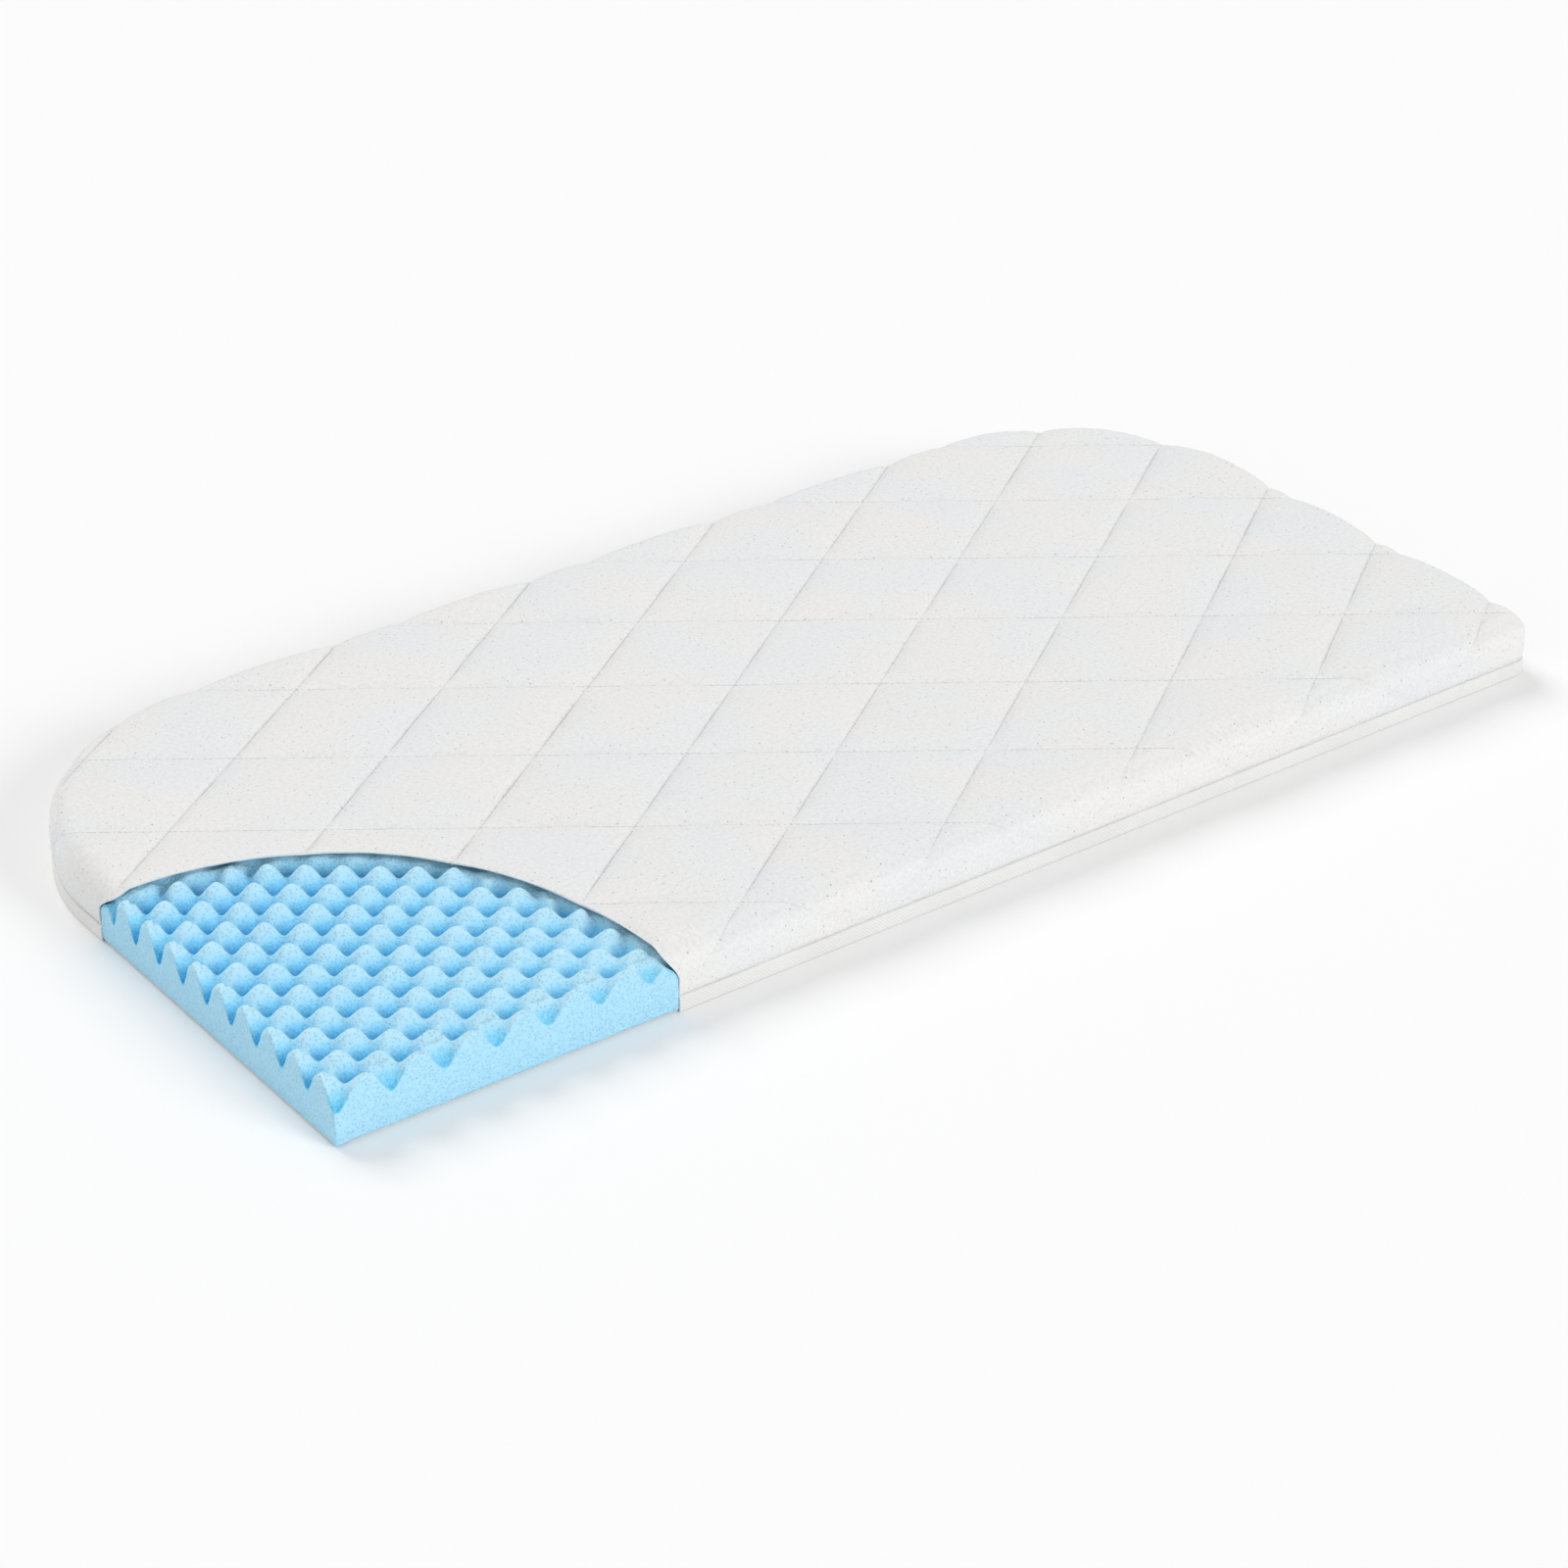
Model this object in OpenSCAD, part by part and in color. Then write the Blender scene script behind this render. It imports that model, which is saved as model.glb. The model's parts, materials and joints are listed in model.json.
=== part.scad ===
// Bedside-cot mattress: a profiled foam core in a removable quilted cover, shown as a
// display sample whose cover is cut away over the front left corner of the foam.
// X runs along the straight front edge, +Y to the back with its two round corners, Z up.
// The origin is on the floor, under the middle of the mattress.

/* [Mattress] */
// Length along the straight front edge
mattress_l = 890; // [740:10:1400]
// Width from the front edge to the back edge
mattress_w = 430; // [350:10:700]
// Height from the floor to the top of the cover
mattress_h = 42; // [35:1:80]
// Plan radius of the two back corners
back_corner_r = 150; // [60:5:180]
// Plan radius of the cover's two front corners
front_corner_r = 12; // [8:1:30]
// Radius with which the padded top edge rounds over
top_edge_r = 12; // [8:1:14]

/* [Quilted top cover] */
// Thickness of the knitted ticking, on the top and on the turned-up bottom edge
ticking_t = 1.2; // [0.6:0.1:1.6]
// Thickness of the wadding between ticking and backing
wadding_t = 3; // [2:0.5:5]
// Thickness of the backing fleece on the inside
backing_t = 0.8; // [0.4:0.1:1.2]
// Height of the edge seam that joins the top cover to the bottom panel
seam_z = 10; // [6:1:14]
// Length of a quilted diamond along X
diamond_l = 146.7; // [60:0.1:200]
// Length of a quilted diamond along Y
diamond_w = 104; // [40:0.1:150]
// Distance of one quilting crossing from the left edge
crossing_x = 63.4; // [0:0.1:200]
// Distance of the same crossing from the front edge
crossing_y = 26; // [0:0.1:150]
// Diameter of the sewing threads
thread_d = 0.6; // [0.3:0.1:1]

/* [Foam] */
// Gap between the foam's face in the window and the cover's outer face
foam_show_gap = 0.4; // [0.2:0.1:1]
// Gap between one layer and the next
layer_gap = 0.1; // [0.05:0.05:0.3]

/* [Display window] */
// Reach of the cut-away along the front edge, on top of the mattress
window_l = 213; // [120:1:260]
// Reach of the cut-away along the left edge, on top of the mattress
window_w = 238; // [120:1:290]
// How much further the cut-away reaches down the front wall
window_flare_x = 9; // [0:1:20]
// How much further the cut-away reaches down the left wall
window_flare_y = 16; // [0:1:20]
// Exponent of the cut-away's curve, where 2 is an ellipse
window_power = 2.2; // [2:0.1:4]

/* [Zip] */
// Distance from the start of a back corner to the end of the zip's slot
zip_margin = 45; // [10:5:60]
// Height of the slot in the back wall
slot_h = 12; // [12:1:16]
// Thickness of the zip's tapes
tape_t = 0.5; // [0.3:0.1:0.6]
// Gap between the two tapes and between the two coils
coil_gap = 0.8; // [0.6:0.1:1]
// Height of one coil
coil_w = 2.2; // [1.5:0.1:2.4]
// Thickness of the coils
coil_t = 1.4; // [1:0.1:1.6]
// Depth of the coils' outer face below the cover's back face
coil_depth = 2.2; // [2.2:0.1:2.4]
// Distance from the slot's end to the slider when the zip is closed
slider_park = 35; // [30:1:60]
// Length of the slider
slider_l = 9; // [7:0.5:12]
// Height of the slider
slider_w = 8; // [7.6:0.1:9]
// Thickness of the slider's plates
plate_t = 0.6; // [0.4:0.1:0.6]
// Clearance of the slider to the tape and the coils
slide_gap = 0.2; // [0.1:0.05:0.2]
// Length of the pull tab from its pivot to its tip
tab_l = 22; // [15:1:25]
// Height of the pull tab
tab_w = 5; // [3:0.5:6]
// Radius of the pull tab's barrel and of the slider's ears
barrel_r = 0.6; // [0.5:0.05:0.6]
// Radius of the pull tab's pivot pins
pivot_r = 0.35; // [0.3:0.05:0.35]
// Radial clearance of the pivot pins in the ears
pivot_gap = 0.05; // [0.03:0.01:0.08]
// Length of the stops at the coils' ends
stop_l = 2; // [1.5:0.5:4]

/* [Care label] */
// Width of the blank care label
label_l = 28; // [15:1:34]
// Height of the blank care label above the seam
label_h = 20; // [10:1:20]
// Thickness of the folded label
label_t = 0.5; // [0.3:0.1:0.8]

/* [Hidden] */
$fn = 96;

wadding_in = ticking_t + layer_gap;
backing_in = wadding_in + wadding_t + layer_gap;
foam_in = backing_in + backing_t + layer_gap;
foam_bottom = ticking_t + layer_gap;
foam_top = mattress_h - foam_in;

back_y = mattress_w / 2;
slot_half = mattress_l / 2 - back_corner_r - zip_margin;
slot_mid_z = seam_z + slot_h / 2;
coil_y = back_y - coil_depth;
tape_y = coil_y - coil_t;
slider_x = slot_half - slider_park;
pivot_y = back_y - barrel_r - 0.05;
pivot_x = slider_x + slider_l / 2 - 2;
ear_t = 0.8;
ear_z = tab_w / 2 - ear_t - 0.2;

white_knit = [0.94, 0.94, 0.93];
foam_blue = [0.56, 0.82, 0.96];
thread_white = [0.86, 0.86, 0.85];
zip_white = [0.9, 0.9, 0.9];
zip_metal = [0.75, 0.76, 0.78];

// The mattress seen from above, drawn in by inset from the cover's outer face
module outline(inset = 0) {
    x = mattress_l / 2 - inset;
    y = mattress_w / 2 - inset;
    front_r = max(front_corner_r - inset, 1);
    back_r = back_corner_r - inset;
    translate([-x + front_r, -y]) square([2 * (x - front_r), 2 * y - back_r]);
    translate([-x, -y + front_r]) square([2 * x, 2 * y - back_r - front_r]);
    translate([-x + back_r, 0]) square([2 * (x - back_r), y]);
    for (side = [-1, 1]) {
        translate([side * (x - front_r), -y + front_r]) circle(front_r, $fn = 24);
        translate([side * (x - back_r), y - back_r]) circle(back_r);
    }
}

// A convex block with the mattress's outline and its rounded top edge
module padded_block(inset) {
    edge_r = top_edge_r - inset;
    hull() {
        linear_extrude(mattress_h - top_edge_r) outline(inset);
        for (angle = [15:15:90])
            linear_extrude(mattress_h - top_edge_r + edge_r * sin(angle))
                outline(inset + edge_r * (1 - cos(angle)));
    }
}

// The cut-away's outline in plan: a rounded quarter with ends that flare at the walls
module window(grow = 0) {
    steps = 32;
    reach_x = window_l + grow;
    reach_y = window_w + grow;
    out = 2;
    curve = [for (i = [0:steps]) let (a = 90 * i / steps)
        [reach_x * pow(cos(a), 2 / window_power), reach_y * pow(sin(a), 2 / window_power)]];
    translate([-mattress_l / 2, -mattress_w / 2]) {
        polygon(concat(curve, [[-out, reach_y], [-out, -out], [reach_x, -out]]));
        polygon([[0, 2 * top_edge_r], [0, -out], [reach_x + window_flare_x, -out],
                 [reach_x + window_flare_x, 0], [reach_x - 1, 2 * top_edge_r]]);
        polygon([[2 * top_edge_r, 0], [-out, 0], [-out, reach_y + window_flare_y],
                 [0, reach_y + window_flare_y], [2 * top_edge_r, reach_y - 1]]);
    }
}

// The slot in the back wall that the zip closes
module zip_slot(depth) {
    translate([-slot_half, back_y - depth, seam_z]) cube([2 * slot_half, depth + 1, slot_h]);
}

// One layer of the quilted top cover, open below, with the cut-away and the zip's slot
module cover_layer(inset, thickness, low) {
    difference() {
        padded_block(inset);
        padded_block(inset + thickness);
        translate([0, 0, -1]) linear_extrude(low + 1) square([2 * mattress_l, 2 * mattress_w], center = true);
        translate([0, 0, -1]) linear_extrude(mattress_h + 2) window();
        zip_slot(foam_in);
    }
}

module top_ticking() {
    color(white_knit) cover_layer(0, ticking_t, seam_z);
}

module top_wadding() {
    color("white") cover_layer(wadding_in, wadding_t, foam_bottom);
}

module top_backing() {
    color("gainsboro") cover_layer(backing_in, backing_t, foam_bottom);
}

// Flat knitted panel under the foam with an edge turned up to the seam
module bottom_panel() {
    color(white_knit) {
        difference() {
            linear_extrude(ticking_t) outline();
            translate([0, 0, -1]) linear_extrude(ticking_t + 2) difference() {
                window();
                outline(ticking_t);
            }
        }
        difference() {
            linear_extrude(seam_z - thread_d / 2) outline();
            translate([0, 0, -1]) linear_extrude(seam_z + 2) outline(ticking_t);
            translate([0, 0, -1]) linear_extrude(seam_z + 2) window();
        }
    }
}

// Slab as tall as the profile's tips; it springs out to the cover's face in the window
module foam_core() {
    wall_share = 1 - foam_in / (2 * top_edge_r);
    show_x = window_l + window_flare_x * wall_share - 2 * foam_show_gap;
    show_y = window_w + window_flare_y * wall_share - 2 * foam_show_gap;
    color(foam_blue) {
        difference() {
            padded_block(foam_in);
            translate([-mattress_l, -mattress_w, -1])
                cube([2 * mattress_l, 2 * mattress_w, foam_bottom + 1]);
        }
        translate([foam_show_gap - mattress_l / 2, foam_show_gap - mattress_w / 2, foam_bottom])
            linear_extrude(foam_top - foam_bottom) {
                square([show_x, 2 * foam_in]);
                square([2 * foam_in, show_y]);
            }
    }
}

// Diamond quilting on the flat part of the top
module quilting_thread() {
    run = mattress_l + mattress_w;
    slope = atan2(diamond_w, diamond_l);
    count = ceil(run / diamond_l) + 1;
    color(thread_white) translate([0, 0, mattress_h - thread_d]) linear_extrude(thread_d)
        difference() {
            intersection() {
                outline(top_edge_r);
                union() for (k = [-count:count], side = [-1, 1])
                    translate([crossing_x - mattress_l / 2 + k * diamond_l,
                               crossing_y - mattress_w / 2])
                        rotate(side * slope) translate([-run, -thread_d / 2])
                            square([2 * run, thread_d]);
            }
            window();
        }
}

// Thread that joins the ticking to the bottom panel's turned-up edge, all round
module edge_seam_thread() {
    color(thread_white) translate([0, 0, seam_z - thread_d / 2]) difference() {
        linear_extrude(thread_d / 2) outline();
        translate([0, 0, -1]) linear_extrude(thread_d + 2) outline(ticking_t);
        translate([0, 0, -1]) linear_extrude(thread_d + 2) window();
        translate([-slot_half, back_y - foam_in, -1]) cube([2 * slot_half, foam_in + 1, thread_d + 2]);
    }
}

// Blank folded label, caught in the seam beside the zip
module care_label() {
    color(white_knit) translate([slot_half + (zip_margin - label_l) / 2, back_y, seam_z])
        cube([label_l, label_t, label_h]);
}

// One tape of the zip: side 1 is the upper one, side -1 the lower one
module zip_tape(side) {
    low = side > 0 ? slot_mid_z + coil_gap / 2 : seam_z;
    translate([-slot_half, tape_y - tape_t, low])
        cube([2 * slot_half, tape_t, (slot_h - coil_gap) / 2]);
}

module zip_tape_upper() { color(zip_white) zip_tape(1); }
module zip_tape_lower() { color(zip_white) zip_tape(-1); }

// One row of coil, between the stops at its two ends
module zip_coil(side) {
    low = side > 0 ? slot_mid_z + coil_gap / 2 : slot_mid_z - coil_gap / 2 - coil_w;
    half = slider_x + slider_l;
    translate([-half, tape_y, low]) cube([2 * half, coil_t, coil_w]);
}

module zip_coil_upper() { color(zip_white) zip_coil(1); }
module zip_coil_lower() { color(zip_white) zip_coil(-1); }

// The seams that hold the tapes to the cover
module zip_stitching() {
    color(thread_white) for (z = [seam_z + 1, seam_z + slot_h - 1 - thread_d])
        translate([-slot_half, tape_y, z]) cube([2 * slot_half, thread_d / 2, thread_d]);
}

// One stop on each coil's closed end
module zip_top_stops() {
    color(zip_metal) for (low = [slot_mid_z + coil_gap / 2, slot_mid_z - coil_gap / 2 - coil_w])
        translate([slider_x + slider_l, tape_y, low]) cube([stop_l, coil_t, coil_w]);
}

// One stop across both coils at the open end
module zip_bottom_stop() {
    height = 2 * coil_w + coil_gap;
    color(zip_metal) translate([-slider_x - slider_l - stop_l, tape_y, slot_mid_z - height / 2])
        cube([stop_l, coil_t, height]);
}

// A plate of the slider with rounded ends, seen from behind the mattress
module slider_plate() {
    rotate([90, 0, 0]) linear_extrude(plate_t) intersection() {
        square([slider_l, slider_w], center = true);
        circle(slider_l * 0.6);
    }
}

// Front and back plates, side flanges, the bridge between the coils and the tab's ears
module zip_slider() {
    front_y = coil_y + slide_gap;
    rear_y = tape_y - tape_t - slide_gap;
    flange_t = slider_w / 2 - coil_gap / 2 - coil_w - slide_gap;
    bridge_w = coil_gap - 2 * slide_gap;
    color(zip_metal) difference() {
        union() {
            translate([slider_x, front_y + plate_t, slot_mid_z]) slider_plate();
            translate([slider_x, rear_y, slot_mid_z]) slider_plate();
            for (side = [-1, 1])
                translate([slider_x - slider_l / 3, tape_y + slide_gap,
                           slot_mid_z + side * (slider_w - flange_t) / 2 - flange_t / 2])
                    cube([slider_l * 2 / 3, front_y - tape_y - slide_gap + plate_t / 2, flange_t]);
            translate([slider_x + slider_l / 2 - 3, rear_y - plate_t / 2, slot_mid_z - bridge_w / 2])
                cube([2, front_y - rear_y + plate_t, bridge_w]);
            for (side = [-1, 1]) translate([pivot_x, pivot_y, slot_mid_z + side * (ear_z + ear_t / 2)]) {
                cylinder(h = ear_t, r = barrel_r, center = true);
                translate([-barrel_r, -(pivot_y - front_y), -ear_t / 2])
                    cube([2 * barrel_r, pivot_y - front_y, ear_t]);
            }
        }
        translate([pivot_x, pivot_y, slot_mid_z])
            cylinder(h = tab_w + 4, r = pivot_r + pivot_gap, center = true);
    }
}

// Flat tab on a barrel with two pins, lying along the closed zip
module zip_pull_tab() {
    tab_t = 2 * barrel_r - 0.3;
    inner = 2 * (ear_z - 0.15);
    color(zip_metal) translate([pivot_x, pivot_y, slot_mid_z]) {
        cylinder(h = inner, r = barrel_r, center = true);
        cylinder(h = 2 * (ear_z + ear_t), r = pivot_r, center = true);
        translate([-3, -tab_t / 2, -inner / 2]) cube([3, tab_t, inner]);
        rotate([90, 0, 0]) translate([0, 0, -tab_t / 2]) linear_extrude(tab_t) difference() {
            union() {
                translate([tab_w / 2 - tab_l, -tab_w / 2]) square([tab_l - tab_w / 2 - 2, tab_w]);
                translate([tab_w / 2 - tab_l, 0]) circle(tab_w / 2);
            }
            translate([tab_w / 2 - tab_l, 0]) circle(tab_w / 5);
        }
    }
}

foam_core();
top_ticking();
top_wadding();
top_backing();
bottom_panel();
quilting_thread();
edge_seam_thread();
care_label();
zip_tape_upper();
zip_tape_lower();
zip_coil_upper();
zip_coil_lower();
zip_stitching();
zip_top_stops();
zip_bottom_stop();
zip_slider();
zip_pull_tab();
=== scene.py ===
"""Bedside-cot mattress: a profiled foam core in a diamond-quilted cover, cut away at one corner.

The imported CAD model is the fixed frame. Every length here is in metres, in that frame:
X along the straight front edge, +Y to the back with its two round corners, Z up from the floor.
"""

import json
import math

import bpy
import numpy as np
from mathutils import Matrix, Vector


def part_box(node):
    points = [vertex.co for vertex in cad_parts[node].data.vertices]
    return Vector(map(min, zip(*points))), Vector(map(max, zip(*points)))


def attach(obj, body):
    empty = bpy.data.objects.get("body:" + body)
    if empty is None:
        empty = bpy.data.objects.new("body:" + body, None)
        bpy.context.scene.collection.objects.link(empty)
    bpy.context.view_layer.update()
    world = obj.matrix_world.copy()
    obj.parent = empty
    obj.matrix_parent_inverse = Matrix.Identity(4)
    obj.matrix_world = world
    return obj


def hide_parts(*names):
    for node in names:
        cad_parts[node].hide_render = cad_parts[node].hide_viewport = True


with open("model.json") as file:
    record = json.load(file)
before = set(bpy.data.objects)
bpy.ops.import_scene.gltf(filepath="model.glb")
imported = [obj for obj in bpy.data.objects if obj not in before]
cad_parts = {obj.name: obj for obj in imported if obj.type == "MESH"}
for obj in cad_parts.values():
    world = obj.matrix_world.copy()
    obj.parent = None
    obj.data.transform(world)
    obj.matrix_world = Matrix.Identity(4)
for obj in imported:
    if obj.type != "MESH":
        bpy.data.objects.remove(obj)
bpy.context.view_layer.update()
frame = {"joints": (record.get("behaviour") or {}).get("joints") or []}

MM = 0.001

# -------- sizes from the frame
TICKING_LOW, TICKING_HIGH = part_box("top_ticking")
FOAM_LOW, FOAM_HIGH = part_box("foam_core")
HALF_L = TICKING_HIGH.x
HALF_W = TICKING_HIGH.y
HEIGHT = TICKING_HIGH.z
SEAM_Z = TICKING_LOW.z
BACK_R = 150 * MM
FRONT_R = 12 * MM

# Quilting: one crossing of the seams, and the size of a diamond
CROSS_X = -12.4 * MM - HALF_L
CROSS_Y = 22.7 * MM - HALF_W
DIAMOND_L = 146.7 * MM
DIAMOND_W = 104 * MM
SEAM_STEP = DIAMOND_L * DIAMOND_W / math.hypot(DIAMOND_L, DIAMOND_W)
PUFF = 5.0 * MM
PUFF_ROUND = 0.62
PUFF_POWER = 2.6
PUFF_VARIES = 0.10
SEAM_DIP = 2.6 * MM
PUCKER = 0.32 * MM
PUCKER_PITCH = 10.5 * MM
PUCKER_REACH = 7 * MM
WALL_PRESS = 0.55
WALL_PROUD = 0.8 * MM
CUT_EVEN = 3.0 * MM
CUT_LIFT = 3.0 * MM

# The quilt's own layers
TICKING_T = 1.1 * MM
BASE_IN = 2.0 * MM
BASE_TOP = HEIGHT - 2.9 * MM
EDGE_R = 11 * MM

WADDING_LOW = 1.55 * MM
WADDING_LEAST = 0.35 * MM
WADDING_TRIM = 8 * MM
BACKING_T = 0.5 * MM

# The cut-away corner in the flat cut, measured from the cover's front left corner.
# It flares a little where it runs down the two walls.
WINDOW_L = 212.5 * MM
WINDOW_W = 238 * MM
WINDOW_POWER = 2.2
FLARE_X = 10 * MM
FLARE_Y = 19 * MM
FLARE_FROM = 8 * MM
FLARE_RUN = 19 * MM

# Foam profile
FOAM_PITCH_X = 33.4 * MM
FOAM_PITCH_Y = 26.8 * MM
FOAM_AT_X = 3.6 * MM
FOAM_AT_Y = 1.5 * MM
FOAM_POWER = 0.9
FOAM_FULL = 0.74
FOAM_FILLED = 0.75
FOAM_VALLEY = 23.0 * MM
FOAM_RISE_X = 0.018
FOAM_FALL_Y = 0.030
FOAM_TIP = 40.3 * MM
FOAM_FACE = 1.0 * MM
FOAM_EDGE_R = 8.4 * MM
CUT_GAP = 0.15 * MM
FOAM_STEP_FINE = 1.45 * MM
FOAM_STEP_COARSE = 3.3 * MM

# Zip
SLOT_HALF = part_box("zip_tape_upper")[1].x
SLOT_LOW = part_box("zip_tape_lower")[0].z
SLOT_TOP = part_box("zip_tape_upper")[1].z
ZIP_Z = (SLOT_LOW + SLOT_TOP) / 2


# -------- helpers
def new_mesh(name, points, faces):
    """A smooth-shaded mesh object."""
    mesh = bpy.data.meshes.new(name)
    mesh.from_pydata([tuple(p) for p in points], [], [tuple(int(i) for i in f) for f in faces])
    mesh.validate()
    mesh.polygons.foreach_set("use_smooth", [True] * len(mesh.polygons))
    mesh.update()
    return add_object(name, mesh)


def add_object(name, data):
    made = bpy.data.objects.new(name, data)
    bpy.context.scene.collection.objects.link(made)
    return made


def make_piece(name, points, faces, slot, node, body="mattress", sharp=None):
    """A piece in its material, riding on its body in place of its CAD node."""
    piece = new_mesh(name, points, faces)
    if sharp:
        sharpen(piece, sharp)
    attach(piece, body)
    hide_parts(node)
    piece.data.materials.append(MATERIALS[slot])
    return piece


def sharpen(piece, degrees):
    """Splits the shading where faces meet at more than this angle."""
    limit = math.cos(math.radians(degrees))
    mesh = piece.data
    normals = np.empty(len(mesh.polygons) * 3)
    mesh.polygons.foreach_get("normal", normals)
    normals = normals.reshape(-1, 3)
    sides = {}
    for polygon in mesh.polygons:
        for key in polygon.edge_keys:
            sides.setdefault(key, []).append(polygon.index)
    for edge in mesh.edges:
        pair = sides.get(tuple(sorted(edge.vertices)), ())
        edge.use_edge_sharp = len(pair) == 2 and float(normals[pair[0]] @ normals[pair[1]]) < limit


def store_vectors(piece, name, values):
    """Keeps one vector a vertex on the mesh, for a material to read."""
    field = piece.data.attributes.new(name, "FLOAT_VECTOR", "POINT")
    field.data.foreach_set("vector", np.asarray(values, dtype=np.float32).ravel())


def grid(x, y):
    """A flat grid over the values in x and y: points and four-point faces."""
    gx, gy = np.meshgrid(x, y, indexing="ij")
    index = np.arange(gx.size).reshape(gx.shape)
    faces = np.stack([index[:-1, :-1], index[1:, :-1], index[1:, 1:], index[:-1, 1:]], -1)
    return np.c_[gx.ravel(), gy.ravel()], faces.reshape(-1, 4)


def ring_faces(count, k, closed=False):
    """Four-point faces between count rings of k points, stored one after another."""
    faces = []
    for i in range(count if closed else count - 1):
        a, b = i * k + np.arange(k), (i + 1) % count * k + np.arange(k)
        faces.append(np.stack([a, b, np.roll(b, -1), np.roll(a, -1)], 1))
    return np.concatenate(faces)


def turned(faces):
    """The same four-point faces, seen from the other side."""
    return faces[:, [0, 3, 2, 1]]


def unit(vectors):
    return vectors / np.maximum(np.linalg.norm(vectors, axis=1), 1e-12)[:, None]


def raised(flat, z):
    """Flat points put at height z."""
    return np.c_[flat, np.broadcast_to(z, len(flat))]


def smooth_step(share):
    return share * share * (3 - 2 * share)


def smooth_noise(points, scale, seed):
    """Smooth pseudo-random values from about -1 to 1, made of a few rotated waves."""
    local = np.random.default_rng(seed)
    total = np.zeros(len(points))
    waves = 9
    for _ in range(waves):
        heading = local.uniform(0, 2 * math.pi)
        length = scale * local.uniform(0.7, 1.6)
        phase = local.uniform(0, 2 * math.pi)
        along = points[:, 0] * math.cos(heading) + points[:, 1] * math.sin(heading)
        total += np.sin(2 * math.pi * along / length + phase)
    return total / (waves / 2)


def outline_distance(points, inset=0.0):
    """Signed distance to the mattress's outline drawn in by inset, and the direction out."""
    x, y = points[:, 0], points[:, 1]
    corner = np.where(y > 0, BACK_R, FRONT_R) - inset
    corner = np.maximum(corner, 0.8 * MM)
    qx = np.abs(x) - (HALF_L - inset) + corner
    qy = np.abs(y) - (HALF_W - inset) + corner
    in_corner = (qx > 0) & (qy > 0)
    length = np.hypot(np.maximum(qx, 0), np.maximum(qy, 0))
    distance = np.where(in_corner, length, np.maximum(qx, qy)) - corner
    safe = np.maximum(length, 1e-9)
    out_x = np.where(in_corner, qx / safe, (qx > qy).astype(float)) * np.sign(x)
    out_y = np.where(in_corner, qy / safe, (qx <= qy).astype(float)) * np.sign(y)
    return distance, np.stack([out_x, out_y], 1)


def outline_loop(inset, spacing):
    """Points round the mattress's outline drawn in by inset, anticlockwise from the front left."""
    x, y = HALF_L - inset, HALF_W - inset
    front = max(FRONT_R - inset, 0.8 * MM)
    back = BACK_R - inset
    corners = (
        (x - front, -y + front, front, -90),
        (x - back, y - back, back, 0),
        (-x + back, y - back, back, 90),
        (-x + front, -y + front, front, 180),
    )
    points = []
    for cx, cy, r, start in corners:
        steps = max(6, int(r * math.pi / 2 / spacing))
        arc = [math.radians(start + 90 * i / steps) for i in range(steps + 1)]
        arc = [(cx + r * math.cos(a), cy + r * math.sin(a)) for a in arc]
        if points:
            points += straight(points[-1], arc[0], spacing)
        points += arc
    points += straight(points[-1], points[0], spacing)
    return np.array(points)


def straight(start, end, spacing):
    """Evenly spaced points between start and end, without the two ends."""
    n = max(1, round(math.dist(start, end) / spacing))
    return [tuple(point) for point in np.linspace(start, end, n + 1)[1:-1]]


def window_curve():
    """The cut-away's edge in the flat cut, from below the front wall round to below the left wall."""
    steps, below = 160, -60 * MM
    points = [(WINDOW_L, y) for y in np.arange(below, -0.5 * MM, 1 * MM)]
    for i in range(steps + 1):
        a = math.pi / 2 * i / steps
        along_x, along_y = (part ** (2 / WINDOW_POWER) for part in (math.cos(a), math.sin(a)))
        points.append((WINDOW_L * along_x, WINDOW_W * along_y))
    points += [(x, WINDOW_W) for x in np.arange(-1 * MM, below, -1 * MM)]
    x, y = np.array(points).T
    x, y = x + FLARE_X * flare(y), y + FLARE_Y * flare(x)
    return np.c_[x - HALF_L, y - HALF_W]


def flare(across):
    """How far the cut-away's edge has flared out, from 0 on the top to 1 on the wall."""
    return smooth_step(np.clip((FLARE_FROM - across) / FLARE_RUN, 0, 1))


def window_distance(points):
    """Signed distance in the flat cut to the cut-away's edge, below 0 inside it, and the nearest point."""
    curve = window_curve()
    best = np.full(len(points), 1e9)
    nearest = np.zeros((len(points), 2))
    for a, b in zip(curve[:-1], curve[1:]):
        ab = b - a
        t = np.clip(((points - a) @ ab) / (ab @ ab), 0, 1)
        foot = a + t[:, None] * ab
        d = np.hypot(*(points - foot).T)
        closer = d < best
        best[closer] = d[closer]
        nearest[closer] = foot[closer]
    limit_y = np.interp(points[:, 0], curve[::-1, 0], curve[::-1, 1])
    inside = (points[:, 1] < limit_y) & (points[:, 0] < curve[:, 0].max())
    return np.where(inside, -best, best), nearest


def wrap_down(flat, lift):
    """Bends points of the flat cut over the top edge and down the walls, lifted off the base."""
    inset = BASE_IN + EDGE_R
    s, out = outline_distance(flat, inset)
    turn = np.clip(s / EDGE_R, 0, math.pi / 2)
    over = np.maximum(s, 0)
    down = np.maximum(s - EDGE_R * math.pi / 2, 0)
    xy = flat - out * over[:, None] + out * (EDGE_R * np.sin(turn))[:, None]
    z = BASE_TOP - EDGE_R * (1 - np.cos(turn)) - down
    normal = raised(out * np.sin(turn)[:, None], np.cos(turn))
    return raised(xy, z) + normal * np.broadcast_to(lift, len(flat))[:, None], normal


def wall_reach(z):
    """How far past the flat top's outline the flat cut runs to come down to height z."""
    return EDGE_R * math.pi / 2 + BASE_TOP - EDGE_R - z


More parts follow.
